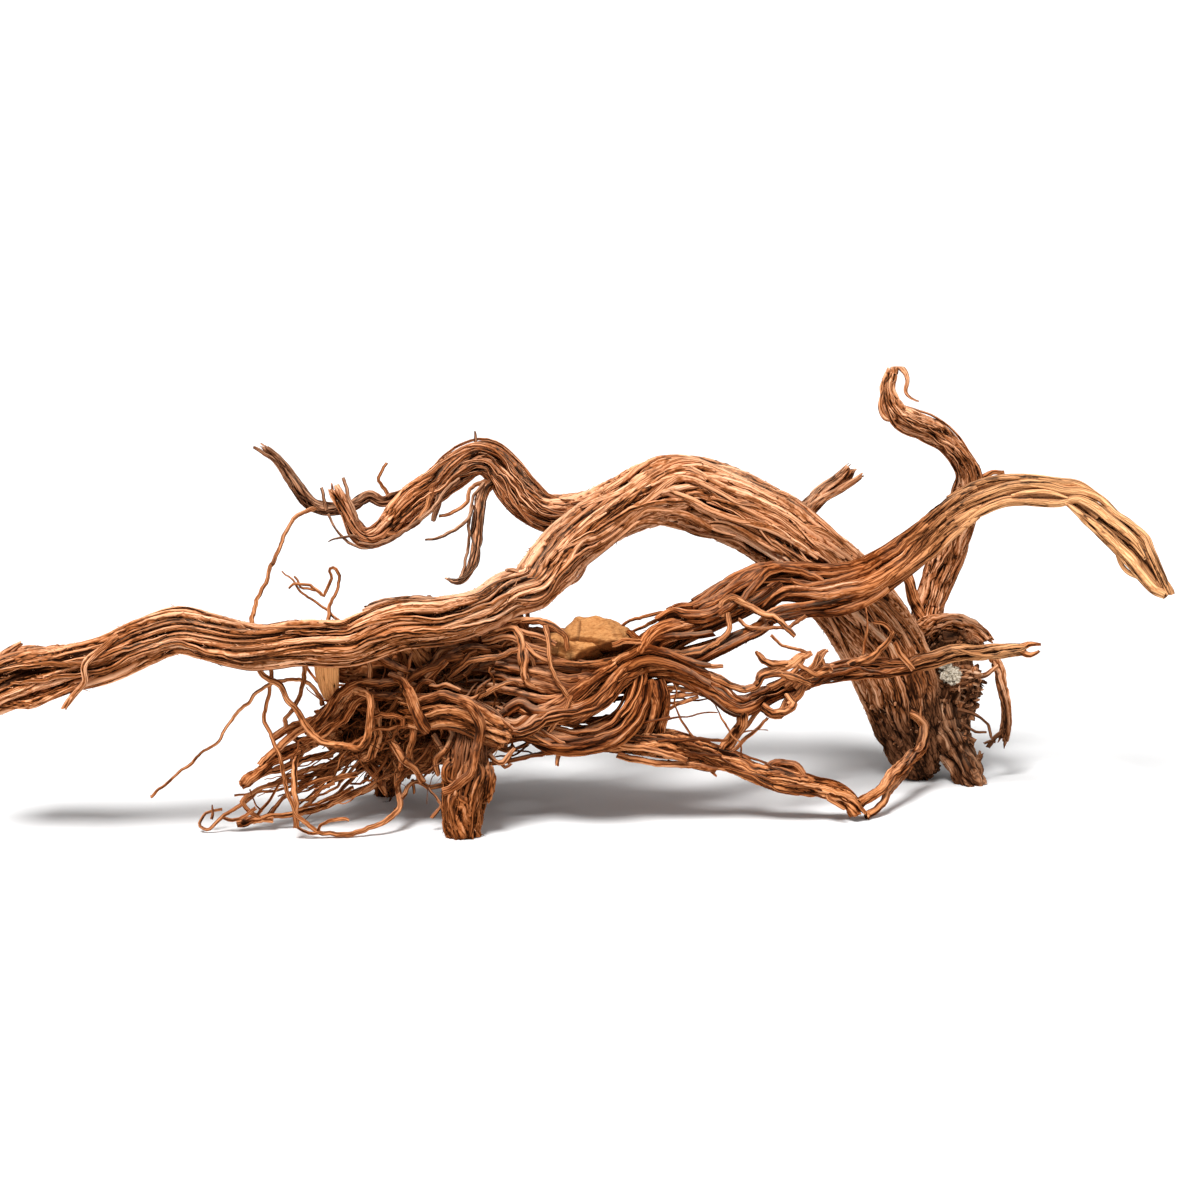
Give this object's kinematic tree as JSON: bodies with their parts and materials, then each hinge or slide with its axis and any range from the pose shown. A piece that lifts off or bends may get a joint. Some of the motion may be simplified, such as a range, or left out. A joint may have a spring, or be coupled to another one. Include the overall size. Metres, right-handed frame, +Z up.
{
  "type": "dry root",
  "caption": "Dry driftwood-like root: a grooved arching trunk limb, long twisted arms and a tangle of rootlets gripping a stone, standing on its own feet as decoration.",
  "frame": {"origin": "on the ground, at the middle of the root's length and depth", "axes": "+X along the trunk limb towards the stump, +Z up, -Y towards the side that the picture shows"},
  "size_m": [0.7396, 0.2095, 0.264],
  "materials": {
    "weathered_root_wood": "dry, fibrous, matt",
    "ochre_stone": "rough, matt"
  },
  "bodies": {
    "root": {"root": "weathered_root_wood", "stone": "ochre_stone"}
  },
  "joints": []
}
